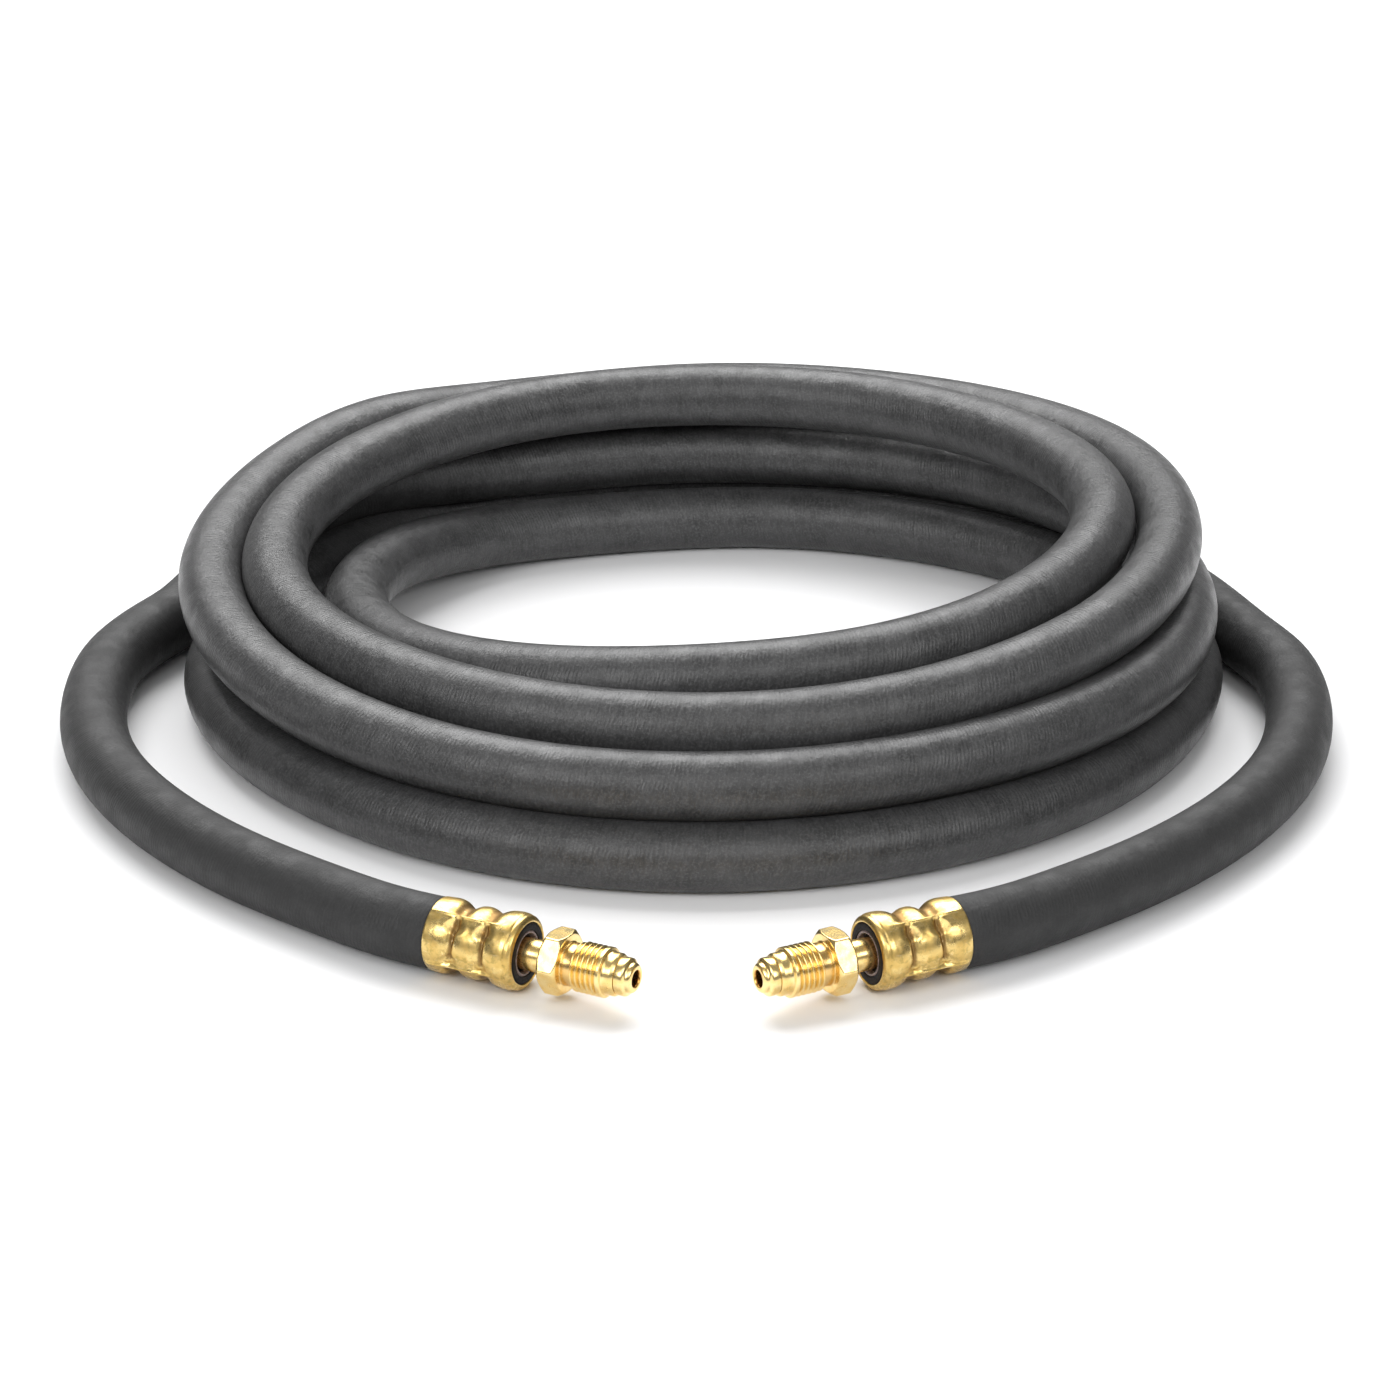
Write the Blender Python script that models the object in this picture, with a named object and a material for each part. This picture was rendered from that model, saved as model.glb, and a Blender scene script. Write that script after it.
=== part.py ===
"""Coiled hose assembly: braided rubber hose with a crimped brass swivel fitting on each end.

Metres, +Z up. The hose lies on the plane z = 0. The origin is on that plane, midway between
the two end fittings, which point at each other along X and slightly towards -Y. The coil lies
behind them, at +Y. The left fitting is at -X, the right one is its mirror image at +X.
"""

import math

import bmesh
import bpy
from mathutils import Matrix, Vector

MM = 0.001
GAP = 0.25 * MM  # clearance between pieces that touch on the real hose

# Hose
HOSE_RADIUS = 6.85 * MM
TUBE_SIDE_STEPS = 4  # bevel resolution of the free tails
POINTS_PER_SPAN = 2  # tube rings for each span between two route points

# Coil: a ring that holds about four and a half turns, stacked up to three high
COIL_CENTRE = Vector((0.0, 144.5 * MM, 0.0))
COIL_OUTER = 110.0 * MM
COIL_INNER = 70.0 * MM
COIL_HEIGHT = 43.0 * MM
COIL_FOOT_INSET = 3.5 * MM
COIL_STEPS = 72

# Fittings: the axis lies along local +X, and distances along it count from just behind the ferrule
FITTING_REAR = Vector((-48.9 * MM, 8.0 * MM, 7.4 * MM))
FITTING_YAW = math.radians(-27.5)
TURN_STEPS = 24

# Ferrule: (distance along the axis, outer radius), from the rear face to the front lip
FERRULE_OUTER = (
    (1.5, 6.80),
    (2.0, 7.02),
    (4.0, 7.12),
    (5.7, 6.80),
    (7.3, 6.15),
    (8.8, 6.60),
    (10.6, 6.90),
    (12.2, 6.62),
    (13.6, 6.20),
    (15.1, 6.75),
    (17.0, 7.22),
    (18.1, 7.28),
    (19.2, 6.98),
    (20.0, 6.40),
)
FERRULE_WALL = 0.62
FERRULE_REAR_EDGE = 0.5
FERRULE_LIP_RADIUS = 5.85
FERRULE_LIP_BACK = 19.2

# Hose end inside the ferrule, layer by layer: inner and outer radius
LINER_RADII = (3.55, 4.05)
BRAID_RADII = (4.25, 4.50)
COVER_INNER = 4.70
HOSE_END_REAR = 2.1
HOSE_END_FRONT = 18.4

# Nipple
BORE_RADIUS = 1.55
TAIL_RADIUS = 2.90
BARB_RADIUS = 3.30
BARB_PITCH = 4.0
BARB_COUNT = 3
TAIL_REAR = 3.0
STEM_RADIUS = 3.00
COLLAR_START = 39.85
COLLAR_RADIUS = 3.60
NOSE_START = 41.5
NOSE_RADIUS = 2.90
NOSE_TIP = 42.7
NOSE_ROUNDING = 0.9

# Swivel nut
NUT_REAR = 24.9
NUT_BORE_RADIUS = 3.25
HEX_ACROSS_FLATS = 11.11
HEX_LENGTH = 4.0
HEX_CHAMFER = 0.6
HEX_TURN = math.radians(30)  # a flat faces up and outwards, halfway between level and upright
RELIEF_LENGTH = 2.1
RELIEF_RADIUS = 4.0
THREAD_RADIUS = 4.75
THREAD_ROOT_RADIUS = 4.15
THREAD_PITCH = 1.058
THREAD_CRESTS = 6
THREAD_END = 37.4
THREAD_END_CHAMFER = 0.3
PILOT_RADIUS = 4.05
PILOT_FRONT = 39.6
NUT_STEPS = 24

# Free tails: centreline points from each ferrule back to the coil
TAIL_ROUTES = {
    "left": (
        (-0.0480, 0.0075, 0.0074),
        (-0.0568, 0.0126, 0.0072),
        (-0.0700, 0.0229, 0.0070),
        (-0.0856, 0.0367, 0.0069),
        (-0.1018, 0.0554, 0.0069),
        (-0.1154, 0.0788, 0.0069),
        (-0.1226, 0.1026, 0.0069),
        (-0.1242, 0.1264, 0.0069),
        (-0.1222, 0.1415, 0.0069),
        (-0.1162, 0.1565, 0.0069),
    ),
    "right": (
        (0.0480, 0.0075, 0.0074),
        (0.0568, 0.0123, 0.0072),
        (0.0700, 0.0223, 0.0070),
        (0.0856, 0.0362, 0.0069),
        (0.1018, 0.0551, 0.0069),
        (0.1153, 0.0789, 0.0069),
        (0.1222, 0.1030, 0.0069),
        (0.1236, 0.1245, 0.0069),
        (0.1218, 0.1376, 0.0069),
        (0.1170, 0.1504, 0.0069),
    ),
}


def clear_scene():
    """Empty the file, so that the part can be built again in place."""
    for item in list(bpy.data.objects):
        bpy.data.objects.remove(item, do_unlink=True)


def make_material(name, colour, roughness, metallic):
    """A plain Principled material."""
    material = bpy.data.materials.new(name)
    material.use_nodes = True
    shader = material.node_tree.nodes["Principled BSDF"]
    shader.inputs["Base Color"].default_value = (*colour, 1.0)
    shader.inputs["Roughness"].default_value = roughness
    shader.inputs["Metallic"].default_value = metallic
    return material


def add_object(name, mesh, material, parent=None):
    """Link a mesh object and hang it on its parent."""
    item = bpy.data.objects.new(name, mesh)
    bpy.context.collection.objects.link(item)
    item.parent = parent
    mesh.materials.append(material)
    return item


def finish_mesh(bm, name, smooth_angle=math.radians(35)):
    """Turn a bmesh into a mesh with outward faces and smooth round sides."""
    bmesh.ops.recalc_face_normals(bm, faces=bm.faces)
    mesh = bpy.data.meshes.new(name)
    bm.to_mesh(mesh)
    bm.free()
    mesh.shade_smooth()
    mesh.set_sharp_from_angle(angle=smooth_angle)
    return mesh


def turned_mesh(name, outline, steps, axis=Vector((1, 0, 0)), unit=MM):
    """Spin a closed outline of (distance along the axis, radius) all the way round."""
    bm = bmesh.new()
    side = Vector((0, 0, 1)) if abs(axis.x) > 0.5 else Vector((1, 0, 0))
    points = [bm.verts.new((axis * along + side * radius) * unit) for along, radius in outline]
    edges = [bm.edges.new((a, b)) for a, b in zip(points, points[1:] + points[:1])]
    bmesh.ops.spin(
        bm,
        geom=points + edges,
        cent=(0, 0, 0),
        axis=axis,
        angle=2 * math.pi,
        steps=steps,
        use_merge=True,
    )
    return finish_mesh(bm, name)


def inner_wall(along):
    """The ferrule's inner radius at a distance along the axis, in millimetres."""
    for (x0, r0), (x1, r1) in zip(FERRULE_OUTER, FERRULE_OUTER[1:]):
        if along <= x1:
            return r0 + (r1 - r0) * (along - x0) / (x1 - x0) - FERRULE_WALL
    return FERRULE_OUTER[-1][1] - FERRULE_WALL


def ferrule_outline():
    """A sleeve with two crimped grooves and a front lip rolled inwards."""
    rear, rear_radius = FERRULE_OUTER[0]
    first = rear + FERRULE_REAR_EDGE
    stations = [along for along, _ in FERRULE_OUTER if first < along < FERRULE_LIP_BACK - 0.5]
    inside = [(along, inner_wall(along)) for along in reversed(stations)]
    lip = [(20.0, FERRULE_LIP_RADIUS), (FERRULE_LIP_BACK, FERRULE_LIP_RADIUS)]
    corner = [(FERRULE_LIP_BACK - 0.3, inner_wall(stations[-1]))]
    return list(FERRULE_OUTER) + lip + corner + inside + [(rear, rear_radius - 0.5)]


def cover_outline():
    """The compressed rubber cover, which fills the ferrule."""
    gap = GAP / MM
    stations = [along for along, _ in FERRULE_OUTER if HOSE_END_REAR < along < HOSE_END_FRONT]
    stations = [HOSE_END_REAR] + stations + [HOSE_END_FRONT]
    outside = [(along, inner_wall(along) - gap) for along in stations]
    outside[0] = (HOSE_END_REAR, 6.30 - gap)
    return outside + [(HOSE_END_FRONT, COVER_INNER), (HOSE_END_REAR, COVER_INNER)]


def layer_outline(radii):
    """A plain tube wall from the rear to the cut front end of the hose."""
    inner, outer = radii
    return [
        (HOSE_END_REAR, outer),
        (HOSE_END_FRONT, outer),
        (HOSE_END_FRONT, inner),
        (HOSE_END_REAR, inner),
    ]


def nipple_outline():
    """Barbed tail, plain stem, collar and rounded nose round a through bore."""
    points = [(TAIL_REAR, BORE_RADIUS), (TAIL_REAR, TAIL_RADIUS - 0.3)]
    for index in range(BARB_COUNT):
        start = TAIL_REAR + 1.0 + index * BARB_PITCH
        points += [(start, TAIL_RADIUS), (start + 2.2, BARB_RADIUS), (start + 2.4, TAIL_RADIUS)]
    points += [(17.0, TAIL_RADIUS), (17.0, STEM_RADIUS)]
    points += [(COLLAR_START, STEM_RADIUS), (COLLAR_START, COLLAR_RADIUS)]
    points += [(NOSE_START, COLLAR_RADIUS), (NOSE_START, NOSE_RADIUS)]
    for index in range(4):
        turn = index / 3 * math.pi / 2
        along = NOSE_TIP - NOSE_ROUNDING + NOSE_ROUNDING * math.sin(turn)
        points.append((along, NOSE_RADIUS - NOSE_ROUNDING * (1 - math.cos(turn))))
    points.append((NOSE_TIP, BORE_RADIUS))
    return points


def hex_radius(turn):
    """Distance from the axis to the hexagon's side in a given direction."""
    half_flat = HEX_ACROSS_FLATS / 2
    off_flat = (turn + math.pi / 6) % (math.pi / 3) - math.pi / 6
    return half_flat / math.cos(off_flat)


def nut_rings():
    """The nut's outer rings as (distance, radius or None, is hexagonal)."""
    flat = HEX_ACROSS_FLATS / 2
    hex_front = NUT_REAR + HEX_LENGTH
    thread_start = hex_front + RELIEF_LENGTH
    rings = [
        (NUT_REAR, flat, False),
        (NUT_REAR + HEX_CHAMFER, None, True),
        (hex_front - HEX_CHAMFER, None, True),
        (hex_front, flat, False),
        (hex_front, RELIEF_RADIUS, False),
        (thread_start - 0.1, RELIEF_RADIUS, False),
    ]
    for index in range(THREAD_CRESTS):
        crest = thread_start + (index + 0.5) * THREAD_PITCH
        rings.append((crest - THREAD_PITCH / 2, THREAD_ROOT_RADIUS, False))
        rings.append((crest, THREAD_RADIUS, False))
    rings.append((THREAD_END - THREAD_END_CHAMFER, THREAD_RADIUS, False))
    rings.append((THREAD_END, PILOT_RADIUS, False))
    rings.append((PILOT_FRONT - 0.3, PILOT_RADIUS, False))
    rings.append((PILOT_FRONT, PILOT_RADIUS - 0.3, False))
    return rings


def nut_mesh(name):
    """Hexagon, relief groove, thread crests as rings, and pilot, round a plain bore."""
    bm = bmesh.new()
    loops = []
    rings = nut_rings()
    bore = [(PILOT_FRONT, NUT_BORE_RADIUS, False), (NUT_REAR, NUT_BORE_RADIUS, False)]
    for along, radius, is_hex in rings + bore:
        loop = []
        for step in range(NUT_STEPS):
            turn = 2 * math.pi * step / NUT_STEPS
            reach = hex_radius(turn - HEX_TURN) if is_hex else radius
            place = Vector((along, -reach * math.cos(turn), reach * math.sin(turn))) * MM
            loop.append(bm.verts.new(place))
        loops.append(loop)
    for loop, following in zip(loops, loops[1:] + loops[:1]):
        for step in range(NUT_STEPS):
            after = (step + 1) % NUT_STEPS
            bm.faces.new((loop[step], loop[after], following[after], following[step]))
    return finish_mesh(bm, name, math.radians(25))


def coil_mesh(name):
    """The closed outer shape of the coil: a turned ring with rounded shoulders and a flat foot."""
    foot = COIL_FOOT_INSET
    outline = (
        (0.0, COIL_OUTER - foot),
        (2.0 * MM, COIL_OUTER - 0.8 * MM),
        (6.8 * MM, COIL_OUTER),
        (33.0 * MM, COIL_OUTER),
        (38.0 * MM, COIL_OUTER - 2.5 * MM),
        (COIL_HEIGHT - 1.0 * MM, COIL_OUTER - 12.0 * MM),
        (COIL_HEIGHT, COIL_OUTER - 20.0 * MM),
        (COIL_HEIGHT - 1.0 * MM, COIL_INNER + 12.0 * MM),
        (36.0 * MM, COIL_INNER + 4.0 * MM),
        (26.0 * MM, COIL_INNER),
        (6.8 * MM, COIL_INNER),
        (2.0 * MM, COIL_INNER + 0.8 * MM),
        (0.0, COIL_INNER + foot),
    )
    return turned_mesh(name, outline, COIL_STEPS, Vector((0, 0, 1)), 1.0)


def smooth_route(points, spans):
    """Points read from a Catmull-Rom curve that passes through every route point."""
    route = [Vector(point) for point in points]
    padded = [2 * route[0] - route[1]] + route + [2 * route[-1] - route[-2]]
    result = []
    for before, start, end, after in zip(padded, padded[1:], padded[2:], padded[3:]):
        for index in range(spans):
            t = index / spans
            result.append(
                0.5
                * (
                    2 * start
                    + (end - before) * t
                    + (2 * before - 5 * start + 4 * end - after) * t**2
                    + (3 * start - before - 3 * end + after) * t**3
                )
            )
    result.append(route[-1])
    return result


def add_tail(name, route, material):
    """The free hose between a ferrule and the coil, as a bevelled curve with filled caps."""
    curve = bpy.data.curves.new(name, "CURVE")
    curve.dimensions = "3D"
    curve.bevel_depth = HOSE_RADIUS
    curve.bevel_resolution = TUBE_SIDE_STEPS
    curve.use_fill_caps = True
    points = smooth_route(route, POINTS_PER_SPAN)
    spline = curve.splines.new("POLY")
    spline.points.add(len(points) - 1)
    for target, place in zip(spline.points, points):
        target.co = (*place, 1.0)
    item = bpy.data.objects.new(name, curve)
    bpy.context.collection.objects.link(item)
    curve.materials.append(material)


def add_fitting(prefix, side, materials):
    """One crimped end: ferrule, hose layers, nipple and the swivel nut on its own axis."""
    rear = Vector((FITTING_REAR.x * -side, FITTING_REAR.y, FITTING_REAR.z))
    yaw = FITTING_YAW if side < 0 else math.pi - FITTING_YAW
    axis = bpy.data.objects.new(prefix + "_fitting_axis", None)
    bpy.context.collection.objects.link(axis)
    axis.matrix_world = Matrix.Translation(rear) @ Matrix.Rotation(yaw, 4, "Z")
    turned = (
        ("ferrule", ferrule_outline(), "brass_satin"),
        ("cover_end", cover_outline(), "rubber"),
        ("braid_end", layer_outline(BRAID_RADII), "braid"),
        ("liner_end", layer_outline(LINER_RADII), "liner"),
        ("nipple", nipple_outline(), "brass_polished"),
    )
    for part, outline, material in turned:
        name = prefix + "_" + part
        add_object(name, turned_mesh(name, outline, TURN_STEPS), materials[material], axis)
    name = prefix + "_swivel_nut"
    add_object(name, nut_mesh(name), materials["brass_polished"], axis)


def main():
    clear_scene()
    materials = {
        "rubber": make_material("rubber", (0.045, 0.045, 0.047), 0.6, 0.0),
        "braid": make_material("braid", (0.30, 0.26, 0.24), 0.9, 0.0),
        "liner": make_material("liner", (0.05, 0.04, 0.045), 0.5, 0.0),
        "brass_satin": make_material("brass_satin", (0.74, 0.56, 0.24), 0.35, 1.0),
        "brass_polished": make_material("brass_polished", (0.85, 0.63, 0.25), 0.2, 1.0),
    }
    coil = add_object("hose_coil", coil_mesh("hose_coil"), materials["rubber"])
    coil.location = COIL_CENTRE
    for prefix, side in (("left", -1), ("right", 1)):
        add_tail("hose_tail_" + prefix, TAIL_ROUTES[prefix], materials["rubber"])
        add_fitting(prefix, side, materials)
    bpy.context.view_layer.update()


main()
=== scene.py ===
import math

import bpy
import numpy as np
from mathutils import Matrix, Vector


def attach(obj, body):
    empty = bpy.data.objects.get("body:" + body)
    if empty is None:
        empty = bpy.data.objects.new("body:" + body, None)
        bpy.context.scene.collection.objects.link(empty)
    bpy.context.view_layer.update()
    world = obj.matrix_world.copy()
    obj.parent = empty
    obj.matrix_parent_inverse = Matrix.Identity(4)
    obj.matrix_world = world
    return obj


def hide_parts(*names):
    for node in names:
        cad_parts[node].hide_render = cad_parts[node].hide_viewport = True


# A coiled hose with a crimped brass swivel fitting on each end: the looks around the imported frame.
# The hose's route and the turned outlines are worked out in millimetres, and placed in metres.

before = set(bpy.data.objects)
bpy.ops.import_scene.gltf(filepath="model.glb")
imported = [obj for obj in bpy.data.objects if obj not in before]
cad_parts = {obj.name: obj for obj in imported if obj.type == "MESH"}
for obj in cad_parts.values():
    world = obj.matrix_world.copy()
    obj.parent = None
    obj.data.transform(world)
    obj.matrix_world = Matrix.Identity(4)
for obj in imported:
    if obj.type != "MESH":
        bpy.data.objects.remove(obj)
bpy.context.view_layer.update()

MM = 0.001  # one millimetre in the scene's metres

# ---------------------------------------------------------------- camera

CAMERA_TARGET = Vector((0.0005, 0.1350, 0.0))
CAMERA_ELEVATION = math.radians(23.0)
CAMERA_DISTANCE = 1.0
CAMERA_LENS = 122.4  # on a 36 mm sensor

scene = bpy.context.scene
scene.view_settings.view_transform = "Standard"


def add_camera():
    """A long lens at the photograph's angle, aimed at the middle of the hose."""
    data = bpy.data.cameras.new("camera")
    data.sensor_width = 36.0
    data.lens = CAMERA_LENS
    data.clip_start = 0.05
    data.clip_end = 50.0
    camera = bpy.data.objects.new("camera", data)
    back = Vector((0.0, -math.cos(CAMERA_ELEVATION), math.sin(CAMERA_ELEVATION)))
    camera.location = CAMERA_TARGET + back * CAMERA_DISTANCE
    camera.rotation_euler = (-back).to_track_quat("-Z", "Y").to_euler()
    scene.collection.objects.link(camera)
    scene.camera = camera


add_camera()

# ---------------------------------------------------------------- meshes


def link_mesh(name, verts, faces, attributes=None):
    """A smooth mesh object from arrays, with named point attributes."""
    mesh = bpy.data.meshes.new(name)
    mesh.from_pydata(np.asarray(verts, float).tolist(), [], faces)
    for key, values in (attributes or {}).items():
        values = np.asarray(values, float)
        kind = "FLOAT_VECTOR" if values.ndim == 2 else "FLOAT"
        layer = mesh.attributes.new(key, kind, "POINT")
        layer.data.foreach_set("vector" if values.ndim == 2 else "value", values.ravel())
    mesh.shade_smooth()
    mesh.update()
    item = bpy.data.objects.new(name, mesh)
    scene.collection.objects.link(item)
    return item


def ring_faces(rings, sides, closed):
    """Quads between neighbouring rings, and end caps or a last band back to the first ring."""
    faces = []
    for i in range(rings if closed else rings - 1):
        a, b = i * sides, ((i + 1) % rings) * sides
        for j in range(sides):
            k = (j + 1) % sides
            faces.append((a + j, a + k, b + k, b + j))
    if not closed:
        faces.append(tuple(range(sides - 1, -1, -1)))
        faces.append(tuple((rings - 1) * sides + j for j in range(sides)))
    return faces


# ---------------------------------------------------------------- hose route

HOSE_DIAMETER = 13.7  # mm
COIL_CENTRE_Y = 144.5  # mm

# Free tails, from each ferrule back to the coil, in metres, as in part.py. They were measured on the
# photograph with scratch scripts, then thinned and rounded; report.md says more.
TAIL_LEFT = (
    (-0.0480, 0.0075, 0.0074), (-0.0568, 0.0126, 0.0072), (-0.0700, 0.0229, 0.0070),
    (-0.0856, 0.0367, 0.0069), (-0.1018, 0.0554, 0.0069), (-0.1154, 0.0788, 0.0069),
    (-0.1226, 0.1026, 0.0069), (-0.1242, 0.1264, 0.0069), (-0.1222, 0.1415, 0.0069),
    (-0.1162, 0.1565, 0.0069),
)
TAIL_RIGHT = (
    (0.0480, 0.0075, 0.0074), (0.0568, 0.0123, 0.0072), (0.0700, 0.0223, 0.0070),
    (0.0856, 0.0362, 0.0069), (0.1018, 0.0551, 0.0069), (0.1153, 0.0789, 0.0069),
    (0.1222, 0.1030, 0.0069), (0.1236, 0.1245, 0.0069), (0.1218, 0.1376, 0.0069),
    (0.1170, 0.1504, 0.0069),
)

# The turns of the coil: (angle about its centre in degrees, radius in mm, height in diameters).
# Typed from landmarks in the photograph and adjusted against it, not worked out by a formula.
COIL_STATIONS = (
    (169.5, 113.2, 0.53), (160, 108.8, 0.8), (150, 105.0, 1.17), (140, 100.7, 1.42),
    (125, 94.5, 1.43), (110, 92.0, 1.34), (90, 92.0, 1.33), (60, 95, 1.38), (30, 99.5, 1.45),
    (0, 101.8, 1.5), (-30, 101.5, 1.48), (-60, 98, 1.415), (-90, 96.8, 1.38),
    (-120, 97.5, 1.42), (-150, 99.7, 1.62), (-180, 101.9, 1.86), (-200, 101.8, 2.08),
    (-215, 100.3, 2.2), (-235, 98.3, 2.14), (-250, 98.3, 2.13), (-270, 99.0, 2.2),
    (-300, 101.5, 2.27), (-330, 102.6, 2.41), (-360, 98.7, 2.45), (-390, 94.2, 2.31),
    (-420, 88, 2.03), (-450, 84.5, 1.9), (-480, 83.7, 1.9), (-510, 85.9, 1.95),
    (-540, 88.6, 2.07), (-570, 88, 2.3), (-600, 86.4, 2.45), (-630, 86, 2.5),
    (-660, 86.7, 2.55), (-690, 87.3, 2.6), (-720, 84.6, 2.65), (-750, 78.5, 2.5),
    (-780, 73.5, 2.35), (-810, 71.5, 2.25), (-840, 71, 1.97), (-870, 71, 1.64),
    (-900, 71.8, 1.3), (-915, 74, 1.1), (-930, 77, 0.92), (-945, 79, 0.72),
    (-960, 79.8, 0.56), (-990, 80, 0.5), (-1005, 82.7, 0.5), (-1020, 86, 0.5),
    (-1035, 90.2, 0.5), (-1050, 95, 0.5), (-1065, 99.5, 0.5), (-1080, 103.3, 0.5),
    (-1110, 103.5, 0.5), (-1140, 103, 0.5), (-1170, 102.6, 0.5), (-1200, 102, 0.5),
    (-1230, 101.5, 0.5), (-1255, 101, 0.5), (-1275, 97.8, 0.5), (-1290, 96.8, 0.5),
    (-1305, 98.7, 0.5), (-1320, 101, 0.5), (-1350, 102.5, 0.5), (-1380, 104.5, 0.5),
    (-1410, 108.5, 0.5), (-1426, 112.3, 0.5),
)
SPANS_PER_POINT = 12
ROUTE_STEP = 3.0  # mm between rings
TOUCH_DISTANCE = 13.15  # mm between centrelines: soft rubber gives a little where strands press
NEAR_DISTANCE = 24.0  # mm; strands further apart than this never meet while they settle
NEIGHBOUR_STEPS = 22  # rings on the same stretch of hose, which don't push each other
SETTLE_ROUNDS = 200
END_HOLD_STEPS = 30  # rings at each end that stay in place, and rings over which the hold fades
PUSH_GAIN = 1.6
PULL_BACK = 0.02  # share of the way back to the route in each round


def route_points():
    """Tail, turns and tail as one list of points in millimetres."""
    points = [tuple(value / MM for value in place) for place in TAIL_LEFT]
    for angle, radius, height in COIL_STATIONS:
        turn = math.radians(angle)
        points.append((
            radius * math.cos(turn),
            radius * math.sin(turn) + COIL_CENTRE_Y,
            height * HOSE_DIAMETER,
        ))
    points += [tuple(value / MM for value in place) for place in reversed(TAIL_RIGHT)]
    return np.array(points)


def natural_spline(points, per_span):
    """A smooth curve with continuous bending through every point."""
    chords = np.linalg.norm(np.diff(points, axis=0), axis=1) ** 0.75
    count = len(points)
    system = np.zeros((count, count))
    right = np.zeros((count, 3))
    system[0, 0] = system[-1, -1] = 1.0
    for i in range(1, count - 1):
        before, after = chords[i - 1], chords[i]
        system[i, i - 1 : i + 2] = before, 2.0 * (before + after), after
        right[i] = 6.0 * ((points[i + 1] - points[i]) / after - (points[i] - points[i - 1]) / before)
    bend = np.linalg.solve(system, right)
    curve = []
    for i in range(count - 1):
        for t in np.linspace(0.0, 1.0, per_span, endpoint=False):
            u = 1.0 - t
            lift = (u**3 - u) * bend[i] + (t**3 - t) * bend[i + 1]
            curve.append(u * points[i] + t * points[i + 1] + lift * chords[i] ** 2 / 6.0)
    curve.append(points[-1])
    return np.array(curve)


def resample(curve, step):
    """Points at equal steps along a curve."""
    lengths = np.linalg.norm(np.diff(curve, axis=0), axis=1)
    along = np.concatenate(([0.0], np.cumsum(lengths)))
    wanted = np.linspace(0.0, along[-1], int(round(along[-1] / step)) + 1)
    return np.column_stack([np.interp(wanted, along, curve[:, k]) for k in range(3)])


def blur(rows, width):
    """Gaussian smoothing along the hose."""
    reach = 3 * width
    weights = np.exp(-0.5 * (np.arange(-reach, reach + 1) / width) ** 2)
    weights /= weights.sum()
    padded = np.pad(rows, ((reach, reach), (0, 0)), mode="edge")
    return np.column_stack([np.convolve(padded[:, k], weights, "valid") for k in range(3)])


def settle(target):
    """Push turns that press into each other apart, so that they lie on one another."""
    count = len(target)
    index = np.arange(count)
    floor_height = HOSE_DIAMETER / 2
    from_end = np.minimum(index, count - 1 - index)
    free = np.clip((from_end - END_HOLD_STEPS) / END_HOLD_STEPS, 0.0, 1.0)
    between = np.linalg.norm(target[:, None] - target[None], axis=2)
    first, second = np.nonzero(np.triu(between < NEAR_DISTANCE, NEIGHBOUR_STEPS))
    place = target.copy()
    for _ in range(SETTLE_ROUNDS):
        apart = place[first] - place[second]
        distance = np.linalg.norm(apart, axis=1)
        overlap = np.clip(TOUCH_DISTANCE - distance, 0.0, None)
        push = apart * (overlap / distance)[:, None]
        total = np.zeros_like(place)
        touching = np.zeros(count)
        np.add.at(total, first, push)
        np.add.at(total, second, -push)
        np.add.at(touching, first, overlap > 0)
        np.add.at(touching, second, overlap > 0)
        move = blur(total / np.maximum(touching, 1.0)[:, None] * 0.5, 4) * PUSH_GAIN
        move += PULL_BACK * (target - place)
        place += move * free[:, None]
        place[:, 2] = np.maximum(place[:, 2], floor_height)
    place = target + blur(place - target, 3)
    place[:, 2] = np.maximum(place[:, 2], floor_height)
    return place


# ---------------------------------------------------------------- fittings' places

FITTING_REAR = Vector((-48.9 * MM, 8.0 * MM, 7.4 * MM))
FITTING_YAW = math.radians(-27.5)


def fitting_place(side):
    """Where a fitting lies: local +X runs from the ferrule's rear face to the nose."""
    rear = FITTING_REAR.copy()
    yaw = FITTING_YAW
    if side == "right":
        rear.x = -rear.x
        yaw = math.pi - FITTING_YAW
    return Matrix.Translation(rear) @ Matrix.Rotation(yaw, 4, "Z")


# ---------------------------------------------------------------- hose

HOSE_SIDES = 48
# How the hose goes into a ferrule: (distance along the fitting's axis, radius) in mm
HOSE_MOUTH = ((4.2, 5.3), (3.0, 5.9), (2.1, 6.15), (1.45, 6.55))


def hose_centres():
    """Ring centres and radii in metres, from inside one ferrule to inside the other."""
    body = settle(resample(natural_spline(route_points(), SPANS_PER_POINT), ROUTE_STEP)) * MM
    centres, radii = [], []
    for along, radius in HOSE_MOUTH:
        centres.append(fitting_place("left") @ Vector((along * MM, 0.0, 0.0)))
        radii.append(radius)
    centres += [Vector(row) for row in body]
    radii += [HOSE_DIAMETER / 2] * len(body)
    for along, radius in reversed(HOSE_MOUTH):
        centres.append(fitting_place("right") @ Vector((along * MM, 0.0, 0.0)))
        radii.append(radius)
    return np.array([tuple(row) for row in centres]), np.array(radii)


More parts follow.
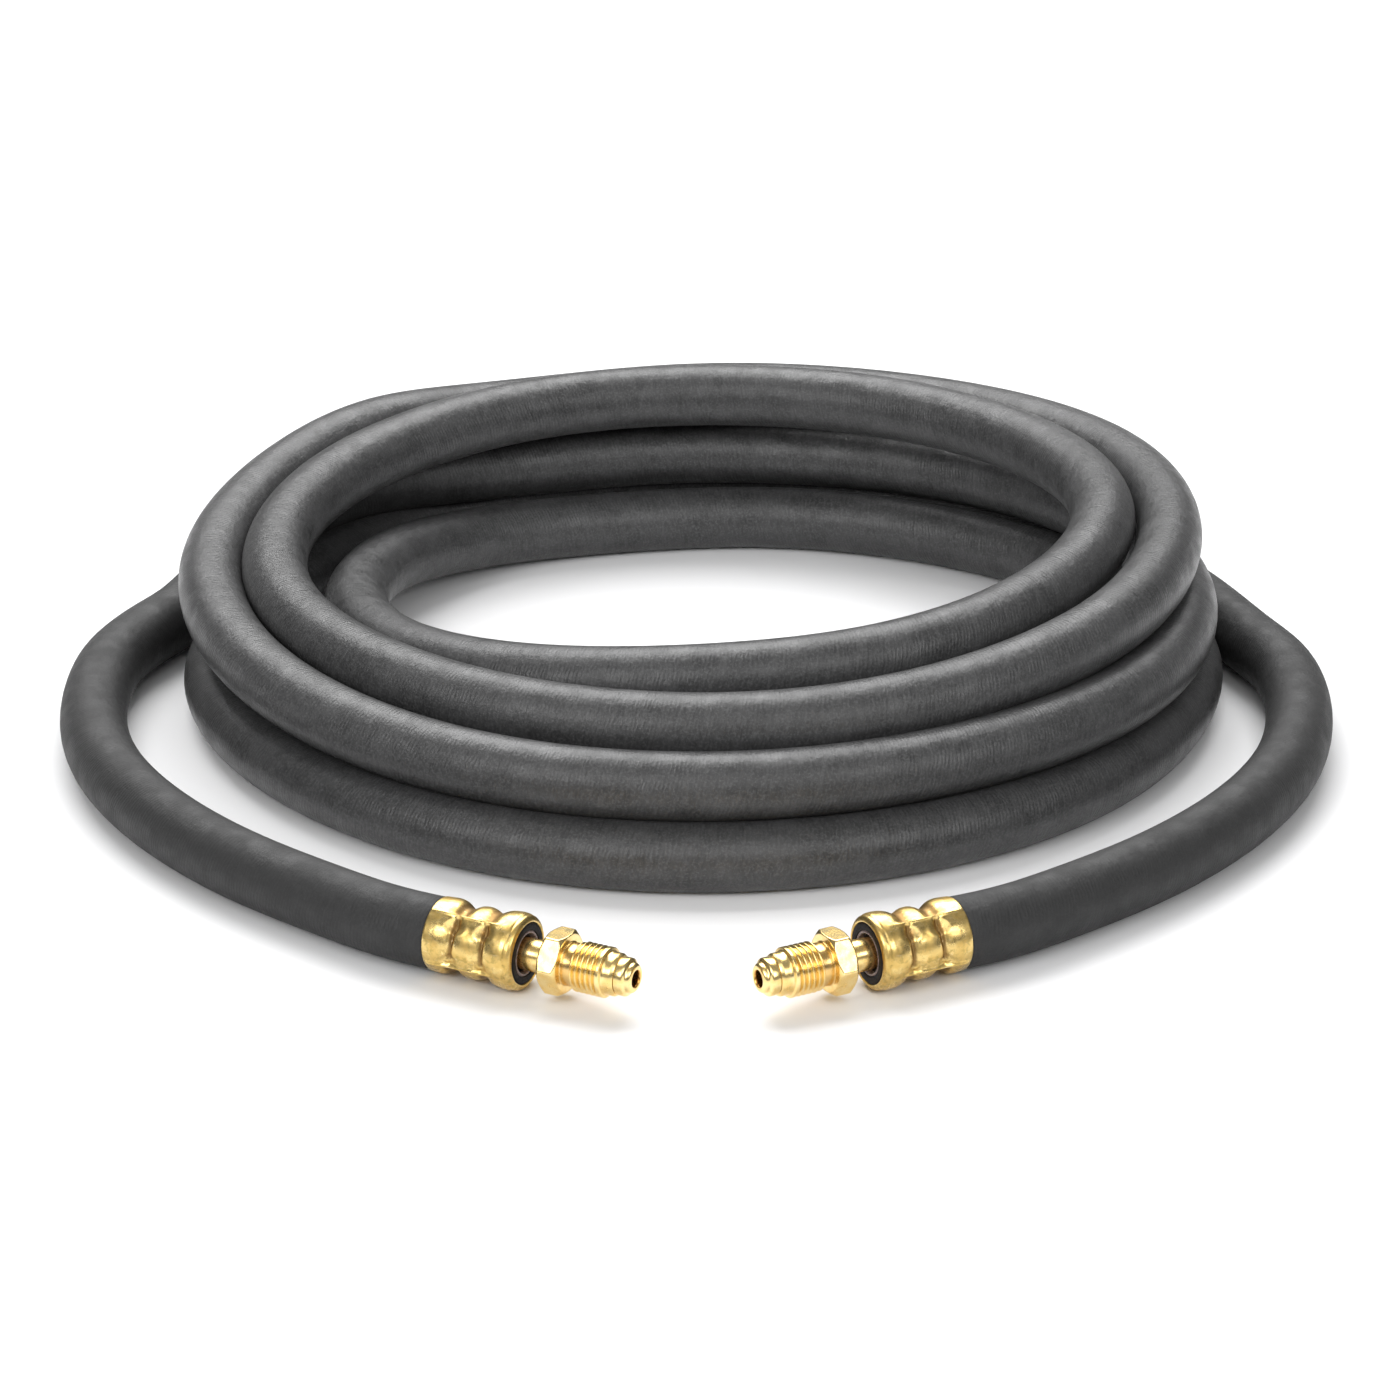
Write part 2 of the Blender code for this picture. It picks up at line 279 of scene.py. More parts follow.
def tube(name, centres, radii, sides, key):
    """A capped round tube without twist; the attribute holds its unrolled place in millimetres."""
    tangents = np.gradient(centres, axis=0)
    tangents /= np.linalg.norm(tangents, axis=1)[:, None]
    along = np.concatenate(([0.0], np.cumsum(np.linalg.norm(np.diff(centres, axis=0), axis=1))))
    up = np.array((0.0, 0.0, 1.0))
    turns = np.linspace(0.0, 2 * math.pi, sides, endpoint=False)
    verts, rest = [], []
    for centre, tangent, radius, place in zip(centres, tangents, radii, along / MM):
        up = up - tangent * up.dot(tangent)
        up /= np.linalg.norm(up)
        side = np.cross(tangent, up)
        ring = np.outer(np.cos(turns), up) + np.outer(np.sin(turns), side)
        verts.append(centre + ring * radius * MM)
        rest.append(np.column_stack((
            radius * np.cos(turns), radius * np.sin(turns), np.full(sides, place)
        )))
    faces = ring_faces(len(centres), sides, closed=False)
    return link_mesh(name, np.concatenate(verts), faces, {key: np.concatenate(rest)})


hose_path, hose_radii = hose_centres()
hose = tube("hose", hose_path, hose_radii, HOSE_SIDES, "hose_rest")
hose_length = float(np.linalg.norm(np.diff(hose_path, axis=0), axis=1).sum())

# ---------------------------------------------------------------- turned pieces


def turned(name, side, outline, steps, shape=None, painted_shade=None):
    """Turn a closed outline of (distance, radius) in mm round a fitting's axis.

    shape(x, turn, radius) may change the radius; the last function, of (x, turn, radius), gives the
    painted shade of hollows, from 0 to 1.
    Turn 0 faces the camera's side of the fitting, and grows upwards.
    """
    place = fitting_place(side)
    facing = -1.0 if side == "left" else 1.0
    outline = np.asarray(outline, float)
    turns = np.linspace(0.0, 2 * math.pi, steps, endpoint=False)
    along, turn = np.meshgrid(outline[:, 0], turns, indexing="ij")
    radius = np.repeat(outline[:, 1:2], steps, axis=1)
    hollow = np.zeros_like(radius)
    if painted_shade:
        hollow = painted_shade(along, turn, radius)
    if shape:
        radius = shape(along, turn, radius)
    local = np.stack((along, facing * radius * np.cos(turn), radius * np.sin(turn)), axis=-1)
    local = local.reshape(-1, 3)
    turned_to_world = np.array(place.to_3x3())
    world = local * MM @ turned_to_world.T + np.array(place.translation)
    faces = ring_faces(len(outline), steps, closed=True)
    if facing > 0:
        faces = [tuple(reversed(face)) for face in faces]
    rest = np.stack((along, radius * np.cos(turn), radius * np.sin(turn)), axis=-1).reshape(-1, 3)
    # The second attribute is the painted shade, from 0 to 1, which the brass materials darken by.
    return link_mesh(name, world, faces, {"part_rest": rest, "painted_shade": hollow.ravel()})


def dense(points, step):
    """A polyline of (x, r) with extra points at most a step apart."""
    result = []
    for (x0, r0), (x1, r1) in zip(points, points[1:]):
        count = max(1, int(math.ceil(math.hypot(x1 - x0, r1 - r0) / step)))
        for i in range(count):
            t = i / count
            result.append((x0 + (x1 - x0) * t, r0 + (r1 - r0) * t))
    result.append(points[-1])
    return result


def arc(centre, radius, start, end, count):
    """Points on an arc in the (x, r) plane; angles in degrees from +x towards +r."""
    angles = np.radians(np.linspace(start, end, count))
    return [(centre[0] + radius * math.cos(a), centre[1] + radius * math.sin(a)) for a in angles]


def hump(value, centre, width):
    """A soft bump of height 1."""
    return np.exp(-(((value - centre) / width) ** 2))


def off_turn(turn, centre):
    """Signed angle from a direction round the axis, in radians."""
    return (turn - centre + math.pi) % (2 * math.pi) - math.pi


# ---------------------------------------------------------------- ferrules

FERRULE_TURNS = 240
FERRULE_STEP = 0.16  # mm
# Smooth run of the sleeve, away from the grooves: (distance, radius)
SLEEVE_CURVE = (
    (1.85, 7.02), (2.9, 7.11), (4.0, 7.15), (5.6, 7.07), (7.3, 6.97), (9.0, 6.92), (10.6, 6.90),
    (12.2, 6.93), (13.6, 7.02), (15.1, 7.18), (16.6, 7.30), (17.8, 7.34), (18.6, 7.26),
)
GROOVES = (7.2, 13.5)
PANEL_MIDDLE = math.radians(20.0)
PANEL_HALF = math.radians(43.0)
RIDGES = (PANEL_MIDDLE + PANEL_HALF, PANEL_MIDDLE - PANEL_HALF)
RIDGE_END, RIDGE_FADE = 16.8, 3.2
LIP_RADIUS = 5.85


def sleeve_radius(along):
    """The sleeve's radius without its grooves."""
    xs, rs = zip(*SLEEVE_CURVE)
    return np.interp(along, xs, rs)


def groove_places(turn):
    """Where each crimped groove lies at a turn: neither is quite square to the axis."""
    return (
        GROOVES[0] + 0.5 * np.sin(turn + math.radians(10.0)),
        GROOVES[1] + 0.3 * np.cos(turn - math.radians(20.0)),
    )


def ferrule_outside():
    """Rear edge, sleeve and rolled front lip."""
    rear = arc((1.85, 6.67), 0.35, 180, 90, 6)
    xs = np.arange(2.0, 18.5, FERRULE_STEP)
    sleeve = [(x, float(sleeve_radius(x))) for x in xs]
    lip = [(18.6, 7.25), (18.75, 7.14), (18.88, 7.08), (19.0, 7.09)]
    lip += arc((19.1, 6.20), 0.90, 84, 20, 10) + arc((19.86, 6.13), 0.28, 10, -90, 7)
    return rear + sleeve + lip


def ferrule_shape(along, turn, radius):
    """Crimped grooves, parting ridges that bridge them, dimples and small pits."""
    outside = radius > LIP_RADIUS + 0.01
    off_panel = np.abs(off_turn(turn, PANEL_MIDDLE)) / PANEL_HALF
    beyond = 1.0 / (1.0 + np.exp(-(off_panel - 1.03) * 24.0))
    downward = np.clip(off_turn(turn, math.radians(-30.0)) / math.radians(55.0), 0.50, 1.0)
    change = np.zeros_like(radius)
    for number, groove in enumerate(groove_places(turn)):
        pinch = -0.72 * hump(along, groove, 0.48) * downward - 0.30 * hump(along, groove, 1.8)
        wide = -(1.15, 0.85)[number] * hump(along, groove, 1.55)
        change += pinch * (1.0 - beyond) + wide * beyond
        upper = off_turn(turn, RIDGES[0] - math.radians(17.5)) * 6.9
        spot = np.hypot((along - groove - 0.1) / 1.35, upper / 1.15)
        change += -0.42 * np.exp(-(spot**2)) + 0.10 * hump(spot, 1.55, 0.5)
        lower = off_turn(turn, RIDGES[1] + math.radians(9.5)) * 6.9
        pit = np.hypot(along - groove + 0.15, lower)
        change += 0.30 * np.exp(-((pit / 0.55) ** 2)) - 0.16 * hump(pit, 1.0, 0.45)
    surface = radius + change
    fade = np.clip((RIDGE_END - along) / RIDGE_FADE, 0.0, 1.0)
    for number, ridge in enumerate(RIDGES):
        across = off_turn(turn, ridge) * 7.0
        top = sleeve_radius(along) + (0.20, 0.46)[number]
        bar = hump(across, 0.0, 0.34) * 0.8 + hump(across, 0.0, 1.0) * 0.2
        surface += np.clip(top - surface, 0.0, None) * bar * fade
    dent = 0.035 * np.sin(3.1 * turn + along * 0.9) * np.sin(turn * 2.0 + 1.3)
    fade_in = np.clip((along - 1.65) / 1.0, 0.0, 1.0) * np.clip((19.4 - along) / 0.9, 0.0, 1.0)
    return np.where(outside, radius + (surface + dent - radius) * fade_in, radius)


def ferrule_painted_shade(along, turn, radius):
    """Painted shade in the grooves, the dimples, beside the ridges and in the crease before the lip; the
    inside is fully shaded.
    """
    shaped = ferrule_shape(along, turn, radius)
    depth = np.clip((sleeve_radius(along) - shaped) / 0.7, 0.0, 1.0)
    depth *= np.clip((18.6 - along) / 0.5, 0.0, 1.0)
    for ridge in RIDGES:
        across = np.abs(off_turn(turn, ridge) * 7.0)
        beside = 0.45 * hump(across, 0.85, 0.35) * np.clip((RIDGE_END - along) / 3.0, 0.0, 1.0)
        depth = np.maximum(depth, beside)
    depth = np.maximum(depth, 0.6 * hump(along, 18.85, 0.12))
    return np.where(radius > LIP_RADIUS + 0.01, depth, 1.0)


def add_ferrule(side):
    """The crimped sleeve as one closed shell."""
    inner = [(19.7, LIP_RADIUS), (19.2, LIP_RADIUS), (18.9, 6.05)]
    inner += [(x, float(sleeve_radius(x)) - 1.25) for x in (18.0, 15.0, 13.6, 10.6, 7.3, 4.0)]
    inner += [(2.1, 6.42), (1.6, 6.5)]
    outline = ferrule_outside() + inner
    return turned(side + "_ferrule_shell", side, outline, FERRULE_TURNS, ferrule_shape, ferrule_painted_shade)


# ---------------------------------------------------------------- cut end of the hose


def cut_face(amount, seed):
    """A cut rubber or braid face that is slightly uneven."""

    def shape(along, turn, radius):
        wave = np.sin(turn * 5 + seed) + 0.6 * np.sin(turn * 11 + seed * 2.1)
        return radius + amount * wave * (along > 17.0)

    return shape


def add_hose_end(side):
    """Cover, braid and liner: the cover swells forward into the ferrule's lip."""
    cover = [(12.0, 5.55), (15.0, 5.7), (18.6, 5.74), (19.6, 5.80)]
    cover += arc((19.84, 5.52), 0.30, 80, 5, 5) + [(20.17, 5.2), (20.16, 4.8)]
    cover += arc((19.86, 4.60), 0.28, 20, -90, 6)
    cover += [(18.0, 4.3), (14.0, 4.3), (12.0, 4.3)]
    braid = arc((19.78, 4.00), 0.27, 90, -90, 9)
    braid = [(12.0, 4.26), (15.0, 4.26), (18.0, 4.27)] + braid + [(15.0, 3.73), (12.0, 3.73)]
    liner = [(12.0, 3.69), (17.0, 3.69)] + arc((18.9, 3.50), 0.19, 80, -80, 6)
    liner += [(17.0, 3.30), (12.0, 3.30)]
    return (
        turned(side + "_hose_cover_end", side, cover, 96, cut_face(0.02, 0.4)),
        turned(side + "_hose_braid_end", side, braid, 192, braid_knuckles),
        turned(side + "_hose_liner_end", side, liner, 96, cut_face(0.015, 1.9)),
    )


def braid_knuckles(along, turn, radius):
    """The cut ends of the braid's thread stand out as small knuckles."""
    return radius + 0.07 * np.abs(np.sin(turn * 18.0)) * np.clip((along - 19.2) / 0.5, 0.0, 1.0)


# ---------------------------------------------------------------- nipple

NIPPLE_TURNS = 96
BORE_RADIUS = 1.55
STEM_RADIUS = 3.05
COLLAR_START, COLLAR_RADIUS = 39.72, 3.62
NOSE_START, NOSE_RADIUS = 41.65, 2.88
NOSE_TIP, NOSE_ROUNDING = 42.7, 0.85


def add_nipple(side):
    """Stem, collar and rounded nose round the through bore."""
    outside = [(3.0, 2.6), (3.3, 2.9)]
    for start in (4.0, 8.0, 12.0):
        outside += [(start, 2.9), (start + 2.2, 3.3), (start + 2.4, 2.95)]
    outside += [(17.0, 2.95), (17.2, STEM_RADIUS)]
    outside = dense(outside, 1.2)
    outside += dense([(17.3, STEM_RADIUS), (COLLAR_START - 0.1, STEM_RADIUS)], 1.0)
    outside += [(COLLAR_START, STEM_RADIUS + 0.1), (COLLAR_START, COLLAR_RADIUS - 0.2)]
    outside += arc((COLLAR_START + 0.16, COLLAR_RADIUS - 0.16), 0.16, 180, 90, 4)
    outside += arc((NOSE_START - 0.62, COLLAR_RADIUS - 0.5), 0.5, 90, 30, 6)
    outside += [(NOSE_START, NOSE_RADIUS + 0.14), (NOSE_START + 0.12, NOSE_RADIUS)]
    centre = (NOSE_TIP - NOSE_ROUNDING, NOSE_RADIUS - NOSE_ROUNDING)
    outside += arc(centre, NOSE_ROUNDING, 90, 0, 12)
    mouth = [(NOSE_TIP, 1.82), (NOSE_TIP - 0.06, 1.68), (NOSE_TIP - 0.3, BORE_RADIUS)]
    bore = dense([(NOSE_TIP - 0.6, BORE_RADIUS), (3.0, BORE_RADIUS)], 2.5)
    return turned(side + "_nipple_turned", side, outside + mouth + bore, NIPPLE_TURNS, None, nipple_painted_shade)


def nipple_painted_shade(along, turn, radius):
    """Painted shade inside the bore and in the corners of the collar."""
    inside = (radius < 1.9) & (along < NOSE_TIP - 0.02)
    corner = 0.5 * hump(along, NOSE_START + 0.1, 0.18) + 0.5 * hump(along, COLLAR_START, 0.2)
    return np.where(inside, 1.0, corner)


# ---------------------------------------------------------------- swivel nut

NUT_TURNS = 240
NUT_REAR, NUT_BORE_RADIUS = 24.9, 3.25
HEX_FLAT, HEX_FRONT, HEX_CHAMFER = 11.11 / 2, 28.9, 0.7
HEX_TURN = math.radians(33.0)  # the flat that faces the camera
RELIEF_RADIUS, RELIEF_END = 4.1, 30.9
THREAD_CREST, THREAD_ROOT, THREAD_PITCH = 4.75, 4.12, 1.058
THREAD_LAST_CREST, THREAD_FRONT = 36.35, 37.4
PILOT_RADIUS, PILOT_FRONT = 4.05, 39.65
THREAD_SAMPLES = 16  # stations to each turn of the thread
# Radii that only mark a station, until nut_shape gives it the radius of the hexagon or the thread
HEX_MARK, THREAD_MARK = 5.5, 4.4


def nut_outline():
    """Stations along the nut; the hexagon and the thread come from nut_shape."""
    start = [(NUT_REAR, 3.5), (NUT_REAR, 4.6), (NUT_REAR, 5.3)]
    hexagon = [(x, HEX_MARK) for x in np.concatenate((
        np.linspace(NUT_REAR, NUT_REAR + HEX_CHAMFER, 6),
        np.linspace(NUT_REAR + HEX_CHAMFER + 0.2, HEX_FRONT - HEX_CHAMFER - 0.2, 6),
        np.linspace(HEX_FRONT - HEX_CHAMFER, HEX_FRONT, 6),
    ))]
    face = [(HEX_FRONT, 5.2), (HEX_FRONT, 4.5)]
    face += arc((HEX_FRONT + 0.25, RELIEF_RADIUS + 0.25), 0.25, 180, 270, 5)
    relief = [(x, RELIEF_RADIUS) for x in (HEX_FRONT + 0.5, HEX_FRONT + 1.1, HEX_FRONT + 1.7)]
    step = THREAD_PITCH / THREAD_SAMPLES
    thread = [(x, THREAD_MARK) for x in np.arange(RELIEF_END, THREAD_FRONT, step)]
    pilot = [(THREAD_FRONT + 0.02, PILOT_RADIUS), (38.0, PILOT_RADIUS), (38.8, PILOT_RADIUS)]
    pilot += [(PILOT_FRONT - 0.62, PILOT_RADIUS), (PILOT_FRONT - 0.56, PILOT_RADIUS - 0.02)]
    pilot += [(PILOT_FRONT - 0.04, PILOT_RADIUS - 0.36), (PILOT_FRONT, PILOT_RADIUS - 0.4)]
    pilot += [(PILOT_FRONT, 3.40), (PILOT_FRONT - 0.05, 3.33), (PILOT_FRONT - 0.2, NUT_BORE_RADIUS)]
    bore = [(34.0, NUT_BORE_RADIUS), (28.0, NUT_BORE_RADIUS), (NUT_REAR + 0.25, NUT_BORE_RADIUS)]
    return start + hexagon + face + relief + thread + pilot + bore


def nut_shape(along, turn, radius, hand):
    """Hexagon with chamfered corners, and a right-handed thread that runs out at both ends.

    The hand is the sense in which the turn grows, seen along the fitting's axis: -1 or 1.
    """
    off_flat = (turn - HEX_TURN + math.pi / 6) % (math.pi / 3) - math.pi / 6
    hexagon = HEX_FLAT / np.cos(off_flat)
    corner = HEX_FLAT * (1.0 / math.cos(math.pi / 6) - 1.0)
    slope = (corner + 0.06) / HEX_CHAMFER
    from_rear = HEX_FLAT - 0.06 + (along - NUT_REAR) * slope
    from_front = HEX_FLAT - 0.06 + (HEX_FRONT - along) * slope
    capped = np.minimum(np.minimum(from_rear, from_front), HEX_FLAT + corner - 0.07)
    hexagon = np.minimum(hexagon, capped)
    phase = ((along - RELIEF_END) / THREAD_PITCH - hand * turn / (2 * math.pi)) % 1.0
    ridge = np.clip((np.abs(phase - 0.5) * 2.0 - 0.14) / 0.72, 0.0, 1.0)
    start = np.clip((along - RELIEF_END) / 0.5, 0.0, 1.0)
    thread = THREAD_CREST - (THREAD_CREST - THREAD_ROOT) * ridge
    thread = RELIEF_RADIUS + (thread - RELIEF_RADIUS) * start
    last = np.clip((along - THREAD_LAST_CREST) / 0.18, 0.0, 1.0)
    end_cone = PILOT_RADIUS + (THREAD_FRONT - along) / 0.30 * (THREAD_CREST - PILOT_RADIUS)
    thread = np.maximum(thread, THREAD_ROOT + (THREAD_CREST - THREAD_ROOT) * last)
    thread = np.minimum(thread, np.maximum(end_cone, PILOT_RADIUS))
    return np.where(radius == HEX_MARK, hexagon, np.where(radius == THREAD_MARK, thread, radius))


def nut_painted_shade(along, turn, radius, hand):
    """Painted shade in the bore, the thread's roots and the relief."""
    shaped = nut_shape(along, turn, radius, hand)
    deep = np.clip((THREAD_CREST - shaped) / 0.7, 0.0, 1.0) * (along > HEX_FRONT)
    deep = np.where(along > THREAD_FRONT, 0.0, deep)
    return np.where(radius < 3.4, 1.0, deep * 0.8)


def add_nut(side):
    """The swivel nut: hexagon, relief, external thread and pilot."""
    hand = -1.0 if side == "left" else 1.0

    def shape(along, turn, radius):
        return nut_shape(along, turn, radius, hand)

    # The nut's painted shade, for this side's hand of thread.
    def painted_shade(along, turn, radius):
        return nut_painted_shade(along, turn, radius, hand)

    return turned(side + "_nut_turned", side, nut_outline(), NUT_TURNS, shape, painted_shade)


# ---------------------------------------------------------------- materials


def new_tree(name):
    """An empty node material with a Principled shader, ready to fill."""
    material = bpy.data.materials.new(name)
    material.use_nodes = True
    tree = material.node_tree
    tree.nodes.clear()
    shader = tree.nodes.new("ShaderNodeBsdfPrincipled")
    output = tree.nodes.new("ShaderNodeOutputMaterial")
    tree.links.new(shader.outputs["BSDF"], output.inputs["Surface"])
    return material, tree, shader


def node(tree, kind, inputs=None, **settings):
    """Add a node; an input value that is a socket is linked, any other is set."""
    item = tree.nodes.new("ShaderNode" + kind)
    for key, value in settings.items():
        setattr(item, key, value)
    for key, value in (inputs or {}).items():
        if isinstance(value, bpy.types.NodeSocket):
            tree.links.new(value, item.inputs[key])
        else:
            item.inputs[key].default_value = value
    return item


def attribute(tree, name):
    """The node that reads a mesh attribute."""
    return node(tree, "Attribute", attribute_name=name)


def stretch(tree, vector, scale):
    """Scale a vector by axis."""
    return node(tree, "Mapping", {"Vector": vector, "Scale": scale}).outputs["Vector"]


def noise(tree, vector, scale, detail=3.0, rough=0.55, distort=0.0):
    """Noise from 0 to 1."""
    inputs = {
        "Vector": vector, "Scale": scale, "Detail": detail, "Roughness": rough,
        "Distortion": distort,
    }
    return node(tree, "TexNoise", inputs).outputs["Fac"]


def math_node(tree, operation, first, second):
    """One arithmetic step."""
    return node(tree, "Math", {0: first, 1: second}, operation=operation).outputs["Value"]


def mix(tree, factor, first, second):
    """Mix two colours; the numbers are the node's sockets for colours."""
    return node(tree, "Mix", {0: factor, 6: first, 7: second}, data_type="RGBA").outputs[2]


def spread(tree, value, low, high, to_low=0.0, to_high=1.0):
    """Map a range smoothly, clamped."""
    inputs = {
        "Value": value, "From Min": low, "From Max": high, "To Min": to_low, "To Max": to_high,
    }
    return node(tree, "MapRange", inputs, interpolation_type="SMOOTHSTEP").outputs["Result"]


def set_shader(tree, shader, values):
    """Link or set the shader's inputs."""
    for key, value in values.items():
        if isinstance(value, bpy.types.NodeSocket):
            tree.links.new(value, shader.inputs[key])
        else:
            shader.inputs[key].default_value = value


def bump(tree, height, distance, strength=1.0, normal=None):
    """Bump of a height from 0 to 1 over a distance in metres."""
    inputs = {"Height": height, "Distance": distance, "Strength": strength}
    if normal is not None:
        inputs["Normal"] = normal
    return node(tree, "Bump", inputs).outputs["Normal"]


TAIL_DULL_TO, TAIL_GLOSS_FROM = 170.0, 330.0  # mm from either end
FIBRE_TILT = 0.22  # slope of the fibres against a square cut through the hose


def hose_rubber():
    """Matt black rubber with a fine, fibrous ribbing across the hose and soft mottling.

    The ends are duller and darker than the turns of the coil.
    """
    material, tree, shader = new_tree("hose_rubber")
    place = attribute(tree, "hose_rest").outputs["Vector"]
    apart = node(tree, "SeparateXYZ", {"Vector": place}).outputs
    along = apart["Z"]
    tilted = math_node(tree, "ADD", along, math_node(tree, "MULTIPLY", apart["X"], FIBRE_TILT))
    leaning = node(tree, "CombineXYZ", {"X": apart["X"], "Y": apart["Y"], "Z": tilted}).outputs["Vector"]
    ribs = node(
        tree, "TexWave",
        {"Vector": leaning, "Scale": 0.40, "Distortion": 4.5, "Detail": 3.0, "Detail Scale": 0.8},
        wave_type="BANDS", bands_direction="Z", wave_profile="SIN",
    ).outputs["Fac"]
    fibres = noise(tree, stretch(tree, leaning, (0.40, 0.40, 1.7)), 1.0, 3.0, 0.6, 0.3)
    grain = noise(tree, place, 2.1, 4.0, 0.7)
    mottle = noise(tree, stretch(tree, place, (0.16, 0.16, 0.11)), 1.0, 3.0, 0.55)
    patches = noise(tree, stretch(tree, place, (0.26, 0.26, 0.20)), 1.0, 2.0, 0.55)
    height = math_node(tree, "MULTIPLY", ribs, 0.40)
    height = math_node(tree, "ADD", height, math_node(tree, "MULTIPLY", fibres, 1.5))
    height = math_node(tree, "ADD", height, math_node(tree, "MULTIPLY", grain, 1.2))
    height = math_node(tree, "ADD", height, math_node(tree, "MULTIPLY", patches, 4.2))
    base = mix(tree, spread(tree, mottle, 0.3, 0.72), (0.024, 0.024, 0.0245, 1), (0.044, 0.044, 0.045, 1))
    lift = spread(tree, fibres, 0.35, 0.75)
    base = mix(tree, math_node(tree, "MULTIPLY", lift, 0.55), base, (0.072, 0.072, 0.072, 1))
    speck = spread(tree, grain, 0.46, 0.66, 0.0, 0.6)
    base = mix(tree, speck, base, (0.095, 0.095, 0.096, 1))
    from_end = math_node(tree, "SUBTRACT", hose_length / MM, along)
    nearest = math_node(tree, "MINIMUM", along, from_end)
    dull = spread(tree, nearest, TAIL_DULL_TO, TAIL_GLOSS_FROM, 1.0, 0.0)
    base = mix(tree, math_node(tree, "MULTIPLY", dull, 0.85), base, (0.011, 0.011, 0.011, 1))
    rough = spread(tree, patches, 0.3, 0.7, 0.32, 0.46)
    rough = math_node(tree, "ADD", rough, math_node(tree, "MULTIPLY", dull, 0.22))
    set_shader(tree, shader, {
        "Base Color": base,
        "Roughness": rough,
        "Specular IOR Level": 0.5,
        "Normal": bump(tree, height, 0.00011, 0.6),
    })
    return material


def cut_rubber(name, dark, light):
    """Freshly cut rubber: darker and rougher than the skin."""
    material, tree, shader = new_tree(name)
    place = attribute(tree, "part_rest").outputs["Vector"]
    grain = noise(tree, place, 3.2, 4.0, 0.6)
    streak = noise(tree, stretch(tree, place, (0.4, 1.8, 1.8)), 1.0, 2.0, 0.5)
    base = mix(tree, spread(tree, streak, 0.35, 0.7), dark, light)
    set_shader(tree, shader, {
        "Base Color": base,
        "Roughness": spread(tree, grain, 0.3, 0.7, 0.5, 0.7),
        "Specular IOR Level": 0.16,
        "Normal": bump(tree, grain, 0.00006, 0.5),
    })
    return material


def braid_thread():
    """Synthetic thread ends with a lilac brown sheen."""
    material, tree, shader = new_tree("braid_thread")
    place = attribute(tree, "part_rest").outputs["Vector"]
    strands = noise(tree, stretch(tree, place, (0.8, 3.0, 3.0)), 1.0, 2.0, 0.5)
    base = mix(tree, spread(tree, strands, 0.35, 0.7), (0.075, 0.045, 0.045, 1), (0.30, 0.20, 0.20, 1))
    set_shader(tree, shader, {
        "Base Color": base,
        "Roughness": spread(tree, strands, 0.3, 0.7, 0.32, 0.5),
        "Sheen Weight": 0.3,
        "Normal": bump(tree, strands, 0.00005, 0.5),
    })
    return material


def stained_brass():
    """Satin brass: crimping marks, olive and brown stains, and painted shade in the grooves and inside."""
    material, tree, shader = new_tree("brass_satin")
    place = attribute(tree, "part_rest").outputs["Vector"]
    hollow = attribute(tree, "painted_shade").outputs["Fac"]
    cloud = noise(tree, place, 0.34, 2.0, 0.5, 0.5)
    blotch = noise(tree, place, 0.85, 4.0, 0.65, 0.4)
    scuff = noise(tree, stretch(tree, place, (0.55, 2.6, 2.6)), 1.0, 3.0, 0.6)
    grain = noise(tree, place, 5.5, 3.0, 0.6)
    base = mix(tree, spread(tree, cloud, 0.3, 0.7), (0.80, 0.59, 0.23, 1), (0.68, 0.46, 0.14, 1))
    olive = math_node(tree, "MULTIPLY", spread(tree, blotch, 0.47, 0.66), 0.60)
    base = mix(tree, olive, base, (0.38, 0.27, 0.08, 1))
    # Painted shade in the grooves and inside, together with brown stain where the blotches are strongest,
    # turns the brass dark brown.
    deep = math_node(tree, "ADD", hollow, math_node(tree, "MULTIPLY", blotch, 0.7))
    deep = spread(tree, deep, 0.72, 1.30, 0.0, 0.85)
    base = mix(tree, deep, base, (0.23, 0.13, 0.045, 1))
    scratch = math_node(tree, "MULTIPLY", spread(tree, scuff, 0.60, 0.72), 0.35)
    base = mix(tree, scratch, base, (1.0, 0.88, 0.58, 1))
    rough = spread(tree, cloud, 0.25, 0.75, 0.24, 0.38)
    rough = math_node(tree, "ADD", rough, math_node(tree, "MULTIPLY", deep, 0.15))
    height = math_node(tree, "ADD", grain, math_node(tree, "MULTIPLY", scuff, 0.8))
    set_shader(tree, shader, {
        "Base Color": base,
        "Metallic": 1.0,
        "Roughness": rough,
        "Normal": bump(tree, height, 0.000016, 0.22, bump(tree, blotch, 0.00012, 0.22)),
    })
    return material


def polished_brass():
    """Turned brass, golden, with fine tool marks round the axis and painted shade in the hollows."""
    material, tree, shader = new_tree("brass_polished")
    place = attribute(tree, "part_rest").outputs["Vector"]
    hollow = attribute(tree, "painted_shade").outputs["Fac"]
    cloud = noise(tree, place, 0.5, 3.0, 0.5, 0.4)
    marks = noise(tree, stretch(tree, place, (9.0, 0.25, 0.25)), 1.0, 3.0, 0.6)
    speck = noise(tree, place, 3.4, 2.0, 0.5)
    base = mix(tree, spread(tree, cloud, 0.3, 0.7), (0.97, 0.76, 0.36, 1), (0.93, 0.66, 0.24, 1))
    # Painted shade: the hollows turn dark brown.
    base = mix(tree, spread(tree, hollow, 0.45, 1.0, 0.0, 0.75), base, (0.50, 0.22, 0.035, 1))
    fleck = math_node(tree, "MULTIPLY", spread(tree, speck, 0.66, 0.76), 0.35)
    base = mix(tree, fleck, base, (0.42, 0.22, 0.05, 1))
    set_shader(tree, shader, {
        "Base Color": base,
        "Metallic": 1.0,
        "Roughness": spread(tree, cloud, 0.25, 0.75, 0.21, 0.28),
        "Normal": bump(tree, marks, 0.000006, 0.2),
    })
    return material


def dress(item, material, body, slot, *nodes):
    """Give a piece its material and its body, and hide the nodes that it stands for; the slot is not used.
    """
    item.data.materials.append(material)
    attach(item, body)
    if nodes:
        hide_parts(*nodes)


